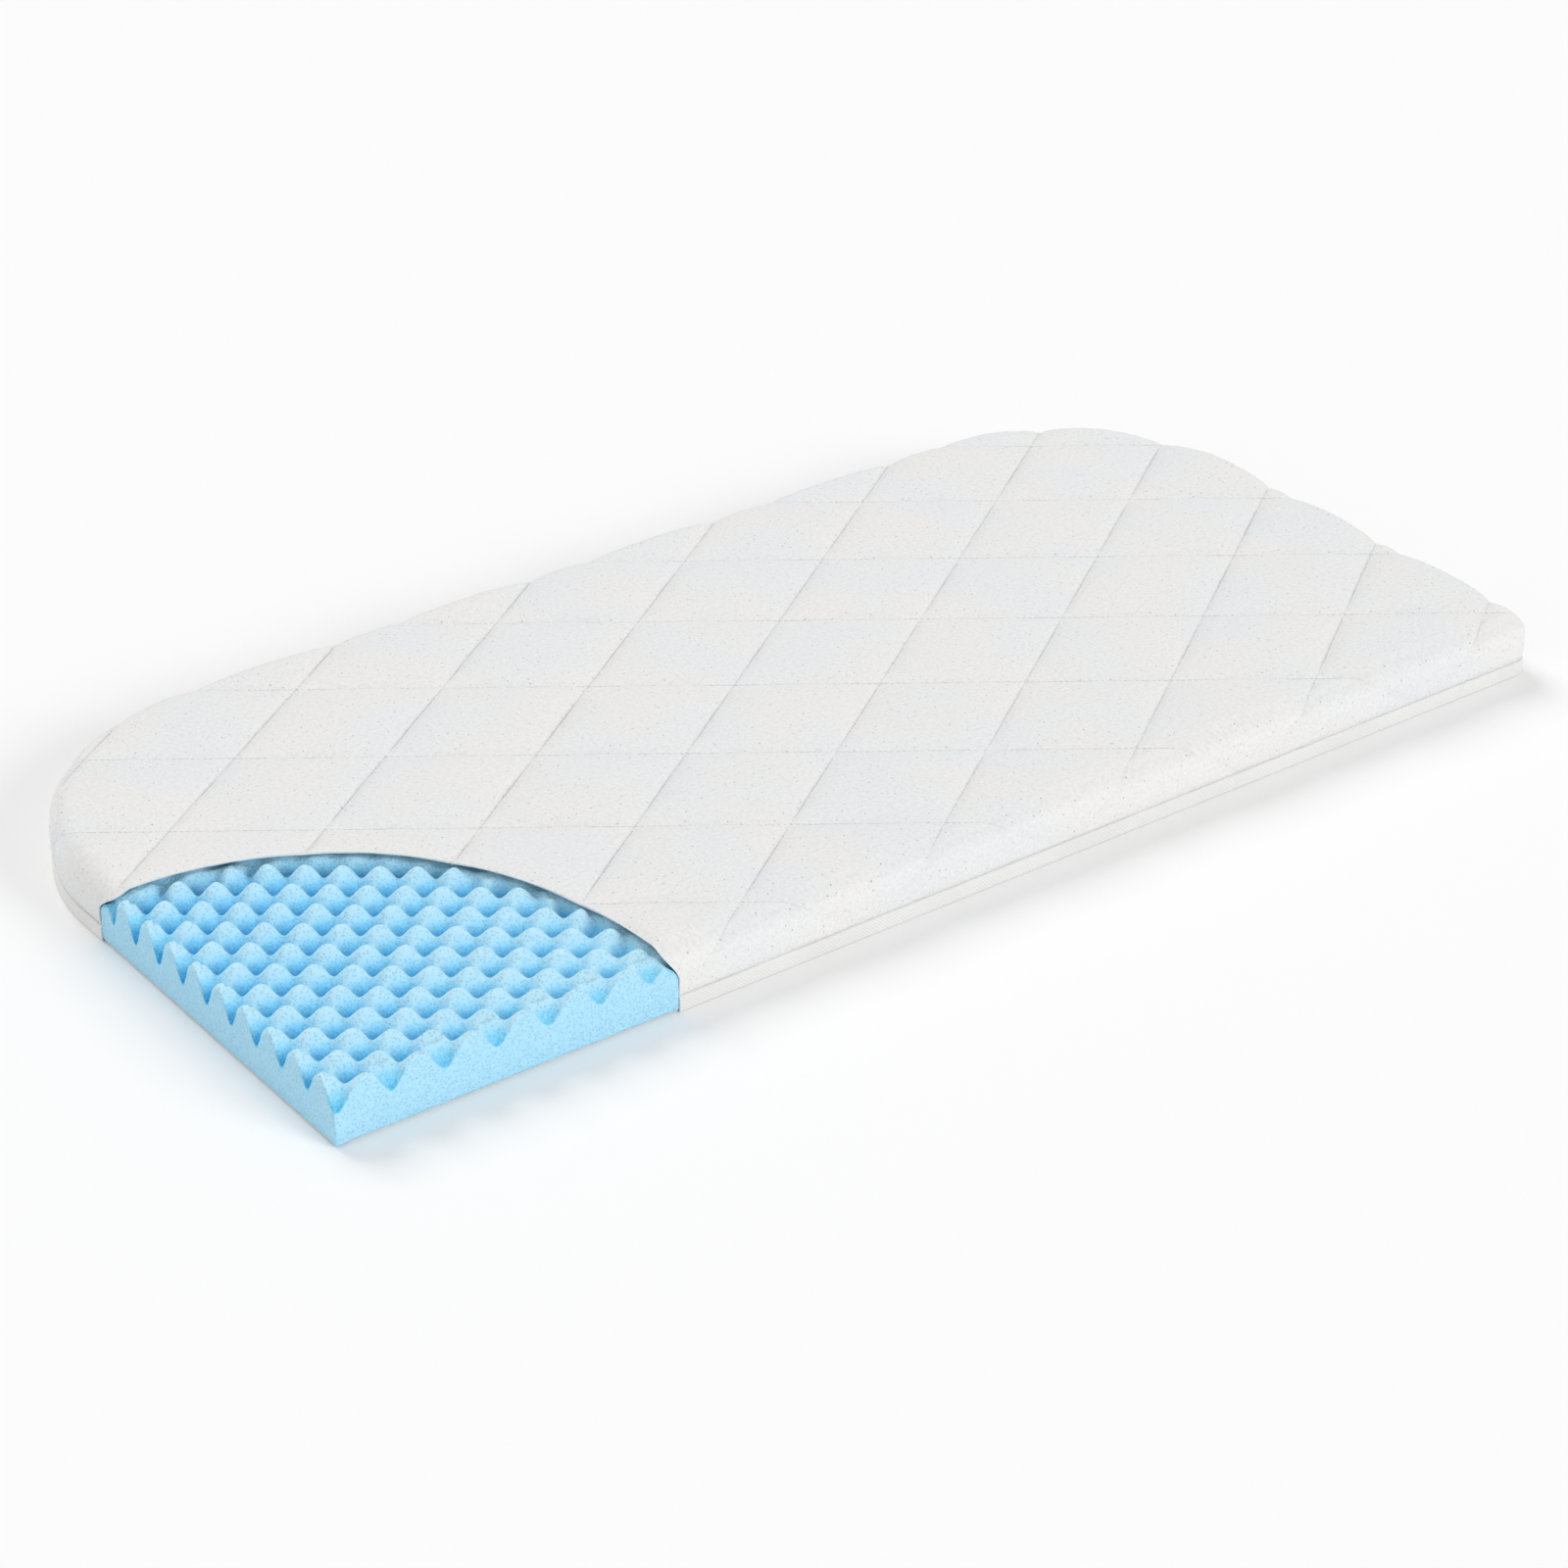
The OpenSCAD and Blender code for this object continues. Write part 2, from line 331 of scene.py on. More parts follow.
def seam_shares(flat):
    """Where points lie between the quilting seams: two shares from 0 on one seam to 1 on the next."""
    u = (flat[:, 0] - CROSS_X) / DIAMOND_L
    v = (flat[:, 1] - CROSS_Y) / DIAMOND_W
    return u + v, u - v


def seam_gap(share):
    """Distance to the nearest seam, as a share of the step from seam to seam."""
    return np.minimum(share % 1, 1 - share % 1)


def puff_height(flat):
    """Height of the quilted surface above its base: crisp at the seams, round between them."""
    a, b = seam_shares(flat)
    shape = 1.0
    for share in (a, b):
        near = seam_gap(share)
        wide = 1 - (1 - 2 * near) ** PUFF_POWER
        crisp = 1 - np.exp(-near * SEAM_STEP / SEAM_DIP)
        shape = shape * (PUFF_ROUND * wide + (1 - PUFF_ROUND) * crisp)
    # No two neighbouring diamonds are filled quite alike.
    cell = np.floor(a) * 31 + np.floor(b) * 17
    return PUFF * shape * (1 + PUFF_VARIES * np.sin(cell * 12.9898))


def wrinkles(flat):
    """Small puckers along the seams and slow waves over the diamonds."""
    a, b = seam_shares(flat)
    total = 0.22 * MM * smooth_noise(flat, 38 * MM, 3) + 0.10 * MM * smooth_noise(flat, 15 * MM, 5)
    for share, along, seed in ((a, b, 11), (b, a, 12)):
        dist = seam_gap(share) * SEAM_STEP
        run = along * SEAM_STEP
        wobble = smooth_noise(flat, 30 * MM, seed)
        fade = np.exp(-dist / PUCKER_REACH) * (1 - np.exp(-dist / (1.2 * MM)))
        total = total + PUCKER * np.sin(2 * math.pi * run / PUCKER_PITCH + 2.4 * wobble) * fade
    return total


# -------- materials
def srgb(red, green, blue):
    """A linear colour from 0 to 255 values."""
    parts = [c / 255 for c in (red, green, blue)]
    return (*[c / 12.92 if c <= 0.04045 else ((c + 0.055) / 1.055) ** 2.4 for c in parts], 1.0)


def node(tree, kind, inputs=(), **settings):
    """Adds a shader node; an input's value is a constant or another node's output."""
    made = tree.nodes.new("ShaderNode" + kind)
    for key, value in settings.items():
        setattr(made, key, value)
    for key, value in dict(inputs).items():
        if isinstance(value, bpy.types.NodeSocket):
            tree.links.new(value, made.inputs[key])
        else:
            made.inputs[key].default_value = value
    return made


def new_material(name, **constants):
    """A material with one principled shader; constants go on the shader's own sockets."""
    made = bpy.data.materials.new(name)
    made.use_nodes = True
    shader = made.node_tree.nodes["Principled BSDF"]
    for key, value in constants.items():
        shader.inputs[key.replace("_", " ")].default_value = value
    return made, made.node_tree


def coat(made, **outputs):
    """Links nodes' outputs to the sockets of a material's shader."""
    shader = made.node_tree.nodes["Principled BSDF"]
    for key, value in outputs.items():
        made.node_tree.links.new(value, shader.inputs[key.replace("_", " ")])
    return made


def mix_colour(tree, share, first, second):
    return node(tree, "Mix", {0: share, 6: first, 7: second}, data_type="RGBA").outputs[2]


def ramp(tree, value, low, high, to_low=0.0, to_high=1.0):
    made = node(
        tree, "MapRange",
        {"Value": value, "From Min": low, "From Max": high, "To Min": to_low, "To Max": to_high},
        interpolation_type="SMOOTHSTEP",
    )
    return made.outputs["Result"]


def multiply(tree, first, second):
    return node(tree, "Math", {0: first, 1: second}, operation="MULTIPLY").outputs[0]


def noise(tree, place, size, detail=2.0, rough=0.55):
    """Smooth noise from 0 to 1 whose lumps are about size across."""
    made = node(tree, "TexNoise", {"Vector": place, "Scale": 1 / size, "Detail": detail, "Roughness": rough})
    return made.outputs["Fac"]


def bands(tree, place, pitch, direction, distortion=0.0):
    """Sine bands from 0 to 1 across X, Y or Z, one every pitch."""
    made = node(
        tree, "TexWave",
        {"Vector": place, "Scale": math.pi / (10 * pitch), "Distortion": distortion, "Detail": 1.0},
        bands_direction=direction,
    )
    return made.outputs["Fac"]


def bump(tree, height, depth, strength=1.0, below=None):
    inputs = {"Height": height, "Distance": depth, "Strength": strength}
    if below is not None:
        inputs["Normal"] = below
    return node(tree, "Bump", inputs).outputs["Normal"]


def object_place(tree):
    return node(tree, "TexCoord").outputs["Object"]


def knit_material():
    """Jersey with fine loops, a pebbled face and rows of tiny pin holes, with painted shade in the pebble's
    hollows and in the holes.
    """
    made, tree = new_material(
        "knit", Roughness=0.9, Sheen_Weight=0.12, Sheen_Roughness=0.5, Specular_IOR_Level=0.2
    )
    place = node(tree, "Attribute", attribute_name="cut_place").outputs["Vector"]
    pins = node(tree, "TexVoronoi", {"Vector": place, "Scale": 1 / PIN_PITCH, "Randomness": 0.45})
    pin = ramp(tree, pins.outputs["Distance"], 0.05, 0.12, 1.0, 0.0)
    loops = multiply(tree, bands(tree, place, 1.3 * MM, "X", 1.2), bands(tree, place, 0.95 * MM, "Y", 1.2))
    pebble = noise(tree, place, 2.4 * MM, 3.0, 0.6)
    drift = ramp(tree, noise(tree, place, 85 * MM, 1.0), 0.36, 0.64)
    base = mix_colour(tree, drift, KNIT_COOL, KNIT_WARM)
    # The pebble's hollows are darkened towards KNIT_SHADE as painted shade.
    pebble_hollow_shade = ramp(tree, pebble, 0.28, 0.62, 0.35, 0.0)
    base = mix_colour(tree, pebble_hollow_shade, base, KNIT_SHADE)
    # The pin holes are painted dark grey as shade inside them.
    base = mix_colour(tree, multiply(tree, pin, 0.6), base, KNIT_PIN_HOLE_SHADE)
    normal = bump(tree, pebble, 0.45 * MM, 0.55)
    normal = bump(tree, loops, 0.16 * MM, 0.6, normal)
    return coat(made, Base_Color=base, Normal=bump(tree, pin, -0.35 * MM, 0.7, normal))


def bottom_knit_material():
    """The plain jersey of the bottom and its turned-up edge, with painted shade in its rib grooves."""
    made, tree = new_material(
        "bottom_knit", Roughness=0.9, Sheen_Weight=0.15, Sheen_Roughness=0.5, Specular_IOR_Level=0.2
    )
    place = object_place(tree)
    ribs = bands(tree, place, 1.2 * MM, "DIAGONAL", 1.5)
    ribs = multiply(tree, ribs, noise(tree, place, 1.4 * MM, 2.0))
    drift = noise(tree, place, 60 * MM, 2.0)
    base = mix_colour(tree, ramp(tree, drift, 0.35, 0.65), srgb(229, 229, 227), srgb(233, 233, 231))
    # The rib grooves are darkened towards grey as painted shade.
    base = mix_colour(tree, ramp(tree, ribs, 0.0, 0.45, 0.4, 0.0), base, srgb(212, 212, 212))
    normal = bump(tree, noise(tree, place, 2.2 * MM, 3.0), 0.3 * MM, 0.5)
    return coat(made, Base_Color=base, Normal=bump(tree, ribs, 0.25 * MM, 0.6, normal))


def foam_material():
    """Blue open-cell foam with its profiled top painted by height: painted shade deepening into the hollows,
    painted light on the tips; pores with painted shade all over, and the cut faces in one plain colour.
    """
    made, tree = new_material("foam", Roughness=0.95, Sheen_Weight=0.1, Specular_IOR_Level=0.12)
    place = object_place(tree)
    height = node(tree, "SeparateXYZ", {0: place}).outputs["Z"]
    facing = node(tree, "SeparateXYZ", {0: node(tree, "TexCoord").outputs["Normal"]}).outputs["Z"]
    # The top's colour follows its height: painted shade in the hollows, painted light on the tips.
    up = ramp(tree, height, FOAM_VALLEY - 4 * MM, FOAM_TIP - 1 * MM)
    lower = mix_colour(tree, ramp(tree, up, 0.0, 0.5), FOAM_HOLLOW_SHADE, FOAM_MIDDLE)
    top = mix_colour(tree, ramp(tree, up, 0.45, 1.0), lower, FOAM_TIP_LIGHT)
    body = mix_colour(tree, ramp(tree, facing, 0.1, 0.45), FOAM_CUT, top)
    cells = node(tree, "TexVoronoi", {"Vector": place, "Scale": 1 / (1.9 * MM), "Randomness": 1.0})
    pore = ramp(tree, cells.outputs["Distance"], 0.15, 0.62)
    fine = noise(tree, place, 1.3 * MM, 3.0, 0.7)
    fleck = ramp(tree, fine, 0.42, 0.66)
    body = mix_colour(tree, multiply(tree, fleck, 0.4), body, FOAM_FLECK)
    # The pores are darkened as painted shade.
    body = mix_colour(tree, ramp(tree, pore, 0.0, 0.5, 0.42, 0.0), body, FOAM_PORE_SHADE)
    normal = bump(tree, pore, 0.4 * MM, 0.6)
    return coat(made, Base_Color=body, Normal=bump(tree, fine, 0.3 * MM, 0.6, normal))


def plain_material(name, pattern, low, high, depth, strength, spread=None, **constants):
    """Two colours and a bump that follow one pattern, made by pattern(tree, place)."""
    made, tree = new_material(name, **constants)
    value = pattern(tree, object_place(tree))
    base = mix_colour(tree, ramp(tree, value, *spread) if spread else value, low, high)
    return coat(made, Base_Color=base, Normal=bump(tree, value, depth, strength))


def fibre_material(name, low, high, size, depth):
    """Loose or pressed fibres."""
    def tangle(tree, place):
        return noise(tree, place, size, 5.0, 0.7)

    return plain_material(
        name, tangle, low, high, depth, 0.8, spread=(0.3, 0.7), Roughness=0.95, Sheen_Weight=0.25
    )


def thread_material():
    """Twisted polyester thread."""
    def twist(tree, place):
        return bands(tree, place, 0.45 * MM, "DIAGONAL", 0.6)

    low, high = srgb(206, 206, 204), srgb(240, 240, 238)
    return plain_material("thread", twist, low, high, 0.08 * MM, 0.7, Roughness=0.6, Sheen_Weight=0.2)


def coil_material():
    """Drawn nylon wire."""
    def cloud(tree, place):
        return noise(tree, place, 3 * MM, 2.0)

    low, high = srgb(226, 226, 222), srgb(243, 243, 240)
    return plain_material("zip_coil", cloud, low, high, 0.05 * MM, 0.5, Roughness=0.38)


def woven_material(name, low, high, across, along, rough):
    """A plain weave of two sets of threads."""
    made, tree = new_material(name, Roughness=rough, Sheen_Weight=0.1)
    place = object_place(tree)
    warp, weft = bands(tree, place, across, "X", 0.3), bands(tree, place, along, "Z", 0.3)
    weave = multiply(tree, warp, weft)
    tint = mix_colour(tree, ramp(tree, weave, 0.0, 0.5), low, high)
    tint = mix_colour(tree, ramp(tree, noise(tree, place, 14 * MM), 0.3, 0.7, 0.0, 0.35), tint, low)
    return coat(made, Base_Color=tint, Normal=bump(tree, weave, 0.12 * MM, 0.8))


def metal_material():
    """Tumbled nickel plate."""
    made, tree = new_material("zip_metal", Metallic=1.0)
    place = object_place(tree)
    wear = noise(tree, place, 1.1 * MM, 4.0, 0.65)
    base = mix_colour(tree, wear, srgb(178, 177, 174), srgb(216, 215, 211))
    polish = ramp(tree, wear, 0.3, 0.7, 0.22, 0.42)
    return coat(made, Base_Color=base, Roughness=polish, Normal=bump(tree, wear, 0.03 * MM, 0.5))


def floor_material():
    made, tree = new_material("studio_floor", Roughness=0.9, Specular_IOR_Level=0.1)
    cloud = noise(tree, object_place(tree), 0.6, 2.0)
    return coat(made, Base_Color=mix_colour(tree, cloud, (0.93, 0.93, 0.93, 1), (0.94, 0.94, 0.94, 1)))


PIN_PITCH = 5.2 * MM
KNIT_COOL = srgb(231, 232, 233)
KNIT_WARM = srgb(234, 233, 231)
KNIT_SHADE = srgb(204, 205, 206)
# Painted shade inside the pin holes.
KNIT_PIN_HOLE_SHADE = srgb(140, 141, 143)
# The foam's height colours are painted light and shade: FOAM_HOLLOW_SHADE in the hollows, FOAM_TIP_LIGHT on
# the tips.
FOAM_HOLLOW_SHADE = srgb(56, 196, 246)
FOAM_MIDDLE = srgb(128, 212, 247)
FOAM_TIP_LIGHT = srgb(188, 231, 249)
FOAM_CUT = srgb(168, 220, 244)
FOAM_FLECK = srgb(208, 238, 250)
# Painted shade inside the pores.
FOAM_PORE_SHADE = srgb(108, 186, 224)

MATERIALS = {
    "knit": knit_material(),
    "bottom_knit": bottom_knit_material(),
    "wadding": fibre_material("wadding", srgb(226, 227, 228), srgb(246, 246, 246), 1.6 * MM, 0.8 * MM),
    "backing": fibre_material("backing", srgb(222, 222, 220), srgb(240, 240, 238), 0.9 * MM, 0.15 * MM),
    "foam": foam_material(),
    "thread": thread_material(),
    "label": woven_material("label", srgb(226, 227, 230), srgb(248, 248, 249), 0.22 * MM, 0.5 * MM, 0.42),
    "zip_tape": woven_material(
        "zip_tape", srgb(214, 214, 211), srgb(240, 240, 237), 0.7 * MM, 0.55 * MM, 0.85
    ),
    "zip_coil": coil_material(),
    "zip_metal": metal_material(),
}


# -------- quilted layers
def diamond_grid(steps, even):
    """Grid of the flat cut that follows the quilting seams: flat points and four-point faces."""
    reach = wall_reach(0) + 20 * MM
    span = int((2 * HALF_L + 2 * reach) / DIAMOND_L + (2 * HALF_W + 2 * reach) / DIAMOND_W) + 3
    part = np.arange(steps) / steps
    part = even * part + (1 - even) * (1 - np.cos(math.pi * part)) / 2
    axis = np.concatenate([k + part for k in range(-span, span)])
    shares, faces = grid(axis, axis)
    a, b = shares.T
    x = CROSS_X + (a + b) / 2 * DIAMOND_L
    y = CROSS_Y + (a - b) / 2 * DIAMOND_W
    keep = (np.abs(x) < HALF_L + reach) & (np.abs(y) < HALF_W + reach)
    return compact(np.stack([x, y], 1), turned(faces[keep[faces].all(1)]))


def compact(points, faces):
    """Drops the points that no face uses."""
    used = np.unique(faces)
    new = np.full(len(points), -1)
    new[used] = np.arange(len(used))
    return points[used], new[faces]


def snap_to(points, faces, measure):
    """Cuts a grid to where measure is below 0, by moving its edge points onto the border."""
    distance, foot = measure(points)
    keep = (distance[faces] < 0).any(1)
    points = points.copy()
    faces = faces[keep]
    outside = np.unique(faces[distance[faces] >= 0])
    points[outside] = foot[outside]
    return compact(points, faces)


def quilt_sheet(steps, even, low_z, window_grow):
    """The flat cut of one quilt layer: down to low_z on the walls, back from the window."""
    points, faces = diamond_grid(steps, even)
    inset = BASE_IN + EDGE_R
    limit = wall_reach(low_z)

    def past_hem(p):
        s, out = outline_distance(p, inset)
        return s - limit, p - out * (s - limit)[:, None]

    def in_window(p):
        d, foot = window_distance(p)
        away = (p - foot) / np.where(np.abs(d) < 1e-9, 1e-9, d)[:, None]
        return window_grow - d, foot + away * window_grow

    def in_slot(p):
        depth, up, side = slot_depths(p)
        to_top, to_end = np.c_[0 * up, -up], np.c_[np.sign(p[:, 0]) * side, 0 * side]
        return depth, p + np.where((up < side)[:, None], to_top, to_end)

    points, faces = snap_to(points, faces, past_hem)
    points, faces = snap_to(points, faces, in_window)
    return snap_to(points, faces, in_slot)


def slot_depths(flat):
    """How deep points of the flat cut lie in the zip's slot: in all, from its top edge and its ends."""
    s, out = outline_distance(flat, BASE_IN + EDGE_R)
    up = np.where((flat[:, 1] > 0) & (out[:, 1] > 0.99), s - wall_reach(SLOT_TOP), -1.0)
    side = SLOT_HALF - np.abs(flat[:, 0])
    return np.minimum(up, side), up, side


def on_wall(loop, out, z):
    """Where points of the outline lie in the flat cut, once they are at height z on the wall."""
    return loop + out * (wall_reach(z) - BASE_IN - EDGE_R)


def border_edges(faces):
    """Edges that only one face uses, in that face's direction."""
    edges = np.stack([faces, np.roll(faces, -1, 1)], -1).reshape(-1, 2)
    edges = edges[edges[:, 0] != edges[:, 1]]
    key = np.sort(edges, 1)
    _, first, count = np.unique(key, axis=0, return_index=True, return_counts=True)
    return edges[first[count == 1]]


def shell(outer, inner, faces):
    """A closed sheet between two surfaces that share their faces."""
    n = len(outer)
    border = border_edges(faces)
    rim = np.stack([border[:, 1], border[:, 0], border[:, 0] + n, border[:, 1] + n], 1)
    points = np.concatenate([outer, inner])
    return points, [*faces.tolist(), *(faces[:, ::-1] + n).tolist(), *rim.tolist()]


def point_normals(points, faces):
    """Smooth normals of a surface of four-point faces."""
    corner = points[faces]
    face_normal = np.cross(corner[:, 2] - corner[:, 0], corner[:, 3] - corner[:, 1])
    total = np.zeros_like(points)
    for k in range(4):
        np.add.at(total, faces[:, k], face_normal)
    return unit(total)


def quilt_lift(flat, low_z):
    """Height of the quilt over its base, drawn in to nothing at the edge seam."""
    s, _ = outline_distance(flat, BASE_IN + EDGE_R)
    to_seam = np.maximum(wall_reach(low_z) - s, 0)
    to_slot = np.maximum(-slot_depths(flat)[0], 0)
    drawn = (1 - np.exp(-to_seam / (1.5 * MM))) * (1 - np.exp(-to_slot / (2.0 * MM)))
    over = np.clip(s / wall_reach(BASE_TOP - EDGE_R), 0, 1)
    pressed = 1 - WALL_PRESS * smooth_step(over)
    lift = WALL_PROUD * over * drawn + (puff_height(flat) + wrinkles(flat)) * drawn * pressed
    # Along the cut-away the edge keeps one height, whether or not a seam meets it.
    at_cut = np.exp(-np.maximum(window_distance(flat)[0], 0) / CUT_EVEN) * drawn
    return lift * (1 - at_cut) + (CUT_LIFT * pressed + WALL_PROUD * over) * at_cut


def make_ticking():
    """The knitted face of the quilt, its walls and the cut edges."""
    flat, faces = quilt_sheet(steps=26, even=0.5, low_z=SEAM_Z, window_grow=0.0)
    outer, _ = wrap_down(flat, quilt_lift(flat, SEAM_Z))
    inner = outer - point_normals(outer, faces) * TICKING_T
    points, faces = shell(outer, inner, faces)
    piece = make_piece("quilted_ticking", points, faces, "knit", "top_ticking", sharp=70)
    cut_place = np.c_[np.tile(flat, (2, 1)), np.repeat([0, -TICKING_T], len(flat))]
    store_vectors(piece, "cut_place", cut_place)


def make_wadding():
    """Fibre filling: thick in the middle of a diamond, pressed thin under the seams."""
    flat, faces = quilt_sheet(steps=12, even=1.0, low_z=SEAM_Z + 1.2 * MM, window_grow=WADDING_TRIM)
    high = np.maximum(quilt_lift(flat, SEAM_Z) - TICKING_T - 0.15 * MM, WADDING_LEAST - WADDING_LOW)
    upper, _ = wrap_down(flat, high)
    lower, _ = wrap_down(flat, -WADDING_LOW)
    points, faces = shell(upper, lower, faces)
    piece = make_piece("quilt_wadding", points, faces, "wadding", "top_wadding")


def make_backing():
    """The thin fleece that the quilting is sewn through to, next to the foam."""
    flat, faces = quilt_sheet(
        steps=10, even=1.0, low_z=SEAM_Z + 0.6 * MM, window_grow=WADDING_TRIM + 0.5 * MM
    )
    drop = WADDING_LOW + 0.1 * MM + 0.08 * MM * (1 + smooth_noise(flat, 24 * MM, 17))
    upper, _ = wrap_down(flat, -drop)
    lower, _ = wrap_down(flat, -drop - BACKING_T)
    points, faces = shell(upper, lower, faces)
    piece = make_piece("quilt_backing", points, faces, "backing", "top_backing")


# -------- foam core
def foam_outline(points):
    """Signed distance to the foam's outline: under the cover, and out to its face in the window."""
    inset = HALF_L - FOAM_HIGH.x
    distance, out = outline_distance(points, inset)
    foot = points - out * distance[:, None]
    low = np.array([FOAM_FACE - HALF_L, FOAM_FACE - HALF_W])
    reach_x = WINDOW_L + FLARE_X - CUT_GAP - HALF_L
    reach_y = WINDOW_W + FLARE_Y - CUT_GAP - HALF_W
    for high in ((reach_x, low[1] + 20 * MM), (low[0] + 20 * MM, reach_y)):
        clipped = np.clip(points, low, high)
        outside = np.hypot(*(points - clipped).T)
        depth = np.minimum(points - low, np.array(high) - points).min(1)
        d = np.where(outside > 0, outside, -depth)
        better = d < distance
        distance = np.where(better, d, distance)
        foot = np.where(better[:, None], clipped, foot)
    return distance, foot


def foam_height(points):
    """The profiled top: tips and hollows in a chequer, lower where the cover holds it down."""
    x, y = points[:, 0] + HALF_L, points[:, 1] + HALF_W
    across = np.cos(2 * math.pi * (x - FOAM_AT_X) / FOAM_PITCH_X)
    wave = across * np.cos(2 * math.pi * (y - FOAM_AT_Y) / FOAM_PITCH_Y)
    wave = np.sign(wave) * np.abs(wave) ** FOAM_POWER
    covered = window_distance(points)[0]
    open_air = np.clip((7 * MM - covered) / (8 * MM), 0, 1)
    tip = FOAM_HIGH.z - 0.2 * MM + (FOAM_TIP - FOAM_HIGH.z) * open_air
    valley = FOAM_VALLEY + np.clip(FOAM_RISE_X * x - FOAM_FALL_Y * y, -7.5 * MM, 4 * MM)
    # Close behind the cover's cut edge the hollows are shallow, so the edge throws only a short shadow.
    filled = smooth_step(np.clip((covered + 1 * MM) / (6 * MM), 0, 1))
    valley = valley + (tip - valley) * FOAM_FILLED * filled
    height = valley + (tip - valley) * ((1 - wave) / 2) ** FOAM_FULL
    return np.minimum(height + 0.2 * MM * smooth_noise(points, 9 * MM, 21), cover_underside(points))


def cover_underside(points):
    """How high the foam may stand under the cover's rounded edge and beside its cut edges."""
    past, out = outline_distance(points, BASE_IN + EDGE_R)
    run = np.clip(past, 0, FOAM_EDGE_R)
    under = BASE_TOP - (EDGE_R - FOAM_EDGE_R) - (FOAM_EDGE_R - np.sqrt(FOAM_EDGE_R**2 - run**2))
    arc = np.arcsin(np.clip(past / EDGE_R, 0, 1)) * EDGE_R
    flat = points + out * (arc - np.maximum(past, 0))[:, None]
    free = window_distance(flat)[0] < 0
    # On the two walls the cut-away's edge slants: the foam's face stays below it.
    down = np.arange(0, 45 * MM, 0.5 * MM)
    heights = [BASE_TOP, BASE_TOP - EDGE_R, 0]
    z = np.interp(down, [0, *(wall_reach(h) for h in heights[1:])], heights)
    slant = flare(BASE_IN + EDGE_R - down)
    x, y = points[:, 0] + HALF_L, points[:, 1] + HALF_W
    by_wall = FOAM_FACE + 14 * MM
    cut = np.maximum(
        np.where(y < by_wall, x - WINDOW_L, 0) / FLARE_X, np.where(x < by_wall, y - WINDOW_W, 0) / FLARE_Y
    )
    beside = np.interp(cut, slant, z) - 0.8 * MM
    limit = np.where(free & (past <= 0), 1.0, np.where(free, beside, under))
    return np.where(past > EDGE_R - 3.5 * MM, np.where(cut > 0, beside, 1.0), limit)


def graded(start, fine_to, end, fine, coarse):
    """Grid lines from start to end, fine at first and coarser after fine_to."""
    a = np.linspace(start, fine_to, round((fine_to - start) / fine) + 1)
    b = np.linspace(fine_to, end, round((end - fine_to) / coarse) + 1)
    return np.concatenate([a, b[1:]])


def make_foam():
    """The foam core: its profiled top, four walls and a flat underside."""
    x = graded(-HALF_L + 1 * MM, -HALF_L + 226 * MM, HALF_L, FOAM_STEP_FINE, FOAM_STEP_COARSE)
    y = graded(-HALF_W + 1 * MM, -HALF_W + 258 * MM, HALF_W, FOAM_STEP_FINE, FOAM_STEP_COARSE)
    flat, faces = snap_to(*grid(x, y), foam_outline)
    top = np.c_[flat, foam_height(flat)]
    border = border_edges(faces)
    following = dict(border.tolist())
    loop = [border[0, 0]]
    while following[loop[-1]] != loop[0]:
        loop.append(following[loop[-1]])
    ring = top[loop]
    low = FOAM_LOW.z
    n, k = len(top), len(loop)
    # The side wall goes down in a few rings, the last one drawn in for a soft bottom edge.
    rings = []
    for share, drop in ((0.9, 0.0), (0.5, 0.0), (0.06, 0.0), (0.0, 0.7 * MM)):
        inward = -drop * np.sign(ring[:, :2])
        rings.append(np.c_[ring[:, :2] + inward, low + (ring[:, 2] - low) * share])
    points = np.concatenate([top, *rings])
    loop_index = [np.array(loop)] + [n + k * i + np.arange(k) for i in range(len(rings))]
    walls = []
    for upper, lower in zip(loop_index[:-1], loop_index[1:]):
        walls += np.stack([upper, lower, np.roll(lower, -1), np.roll(upper, -1)], 1).tolist()
    bottom = loop_index[-1][::-1].tolist()
    faces = [*faces.tolist(), *walls, bottom]
    piece = make_piece("profiled_foam", points, faces, "foam", "foam_core")


# -------- bottom panel
def loop_directions(loop):
    """Outward direction at each point of an anticlockwise loop."""
    along = unit(np.roll(loop, -1, 0) - np.roll(loop, 1, 0))
    return np.c_[along[:, 1], -along[:, 0]]


def make_bottom_panel():
    """Flat knit panel with a rounded edge and the edge that is turned up to the seam."""
    loop = outline_loop(0, 3 * MM)
    out = loop_directions(loop)
    in_window = window_distance(on_wall(loop, out, SEAM_Z))[0] < 0
    panel = flat_panel(loop, out, np.where(in_window, 1.6 * MM, 0.9 * MM))
    wave = 0.25 * MM * smooth_noise(loop, 60 * MM, 31)
    # The points outside the window are put in one run, from one of its ends to the other.
    keep = np.flatnonzero(~in_window)
    gap = int(np.flatnonzero(np.diff(keep) > 1)[0]) + 1 if (np.diff(keep) > 1).any() else 0
    keep = np.roll(keep, -gap)
    strip = turned_up_edge(loop[keep], out[keep], wave[keep])
    both = joined([panel, strip])
    piece = make_piece("bottom_panel_knit", *both, "bottom_knit", "bottom_panel", sharp=60)


def flat_panel(loop, out, hidden):
    """The flat part: rings drawn in from the edge, closed by the floor face and an inner face."""
    profile = ((3.0, 0.0), (1.2, 0.15), (0.25, 0.65), (0.3, 1.0), (1.0, 1.25))
    rings = [raised(loop - out * (hidden + inset * MM)[:, None], z * MM) for inset, z in profile]
    k, n = len(loop), len(rings)
    caps = [(k - 1 - np.arange(k)).tolist(), ((n - 1) * k + np.arange(k)).tolist()]
    return np.concatenate(rings), caps + turned(ring_faces(n, k)).tolist()


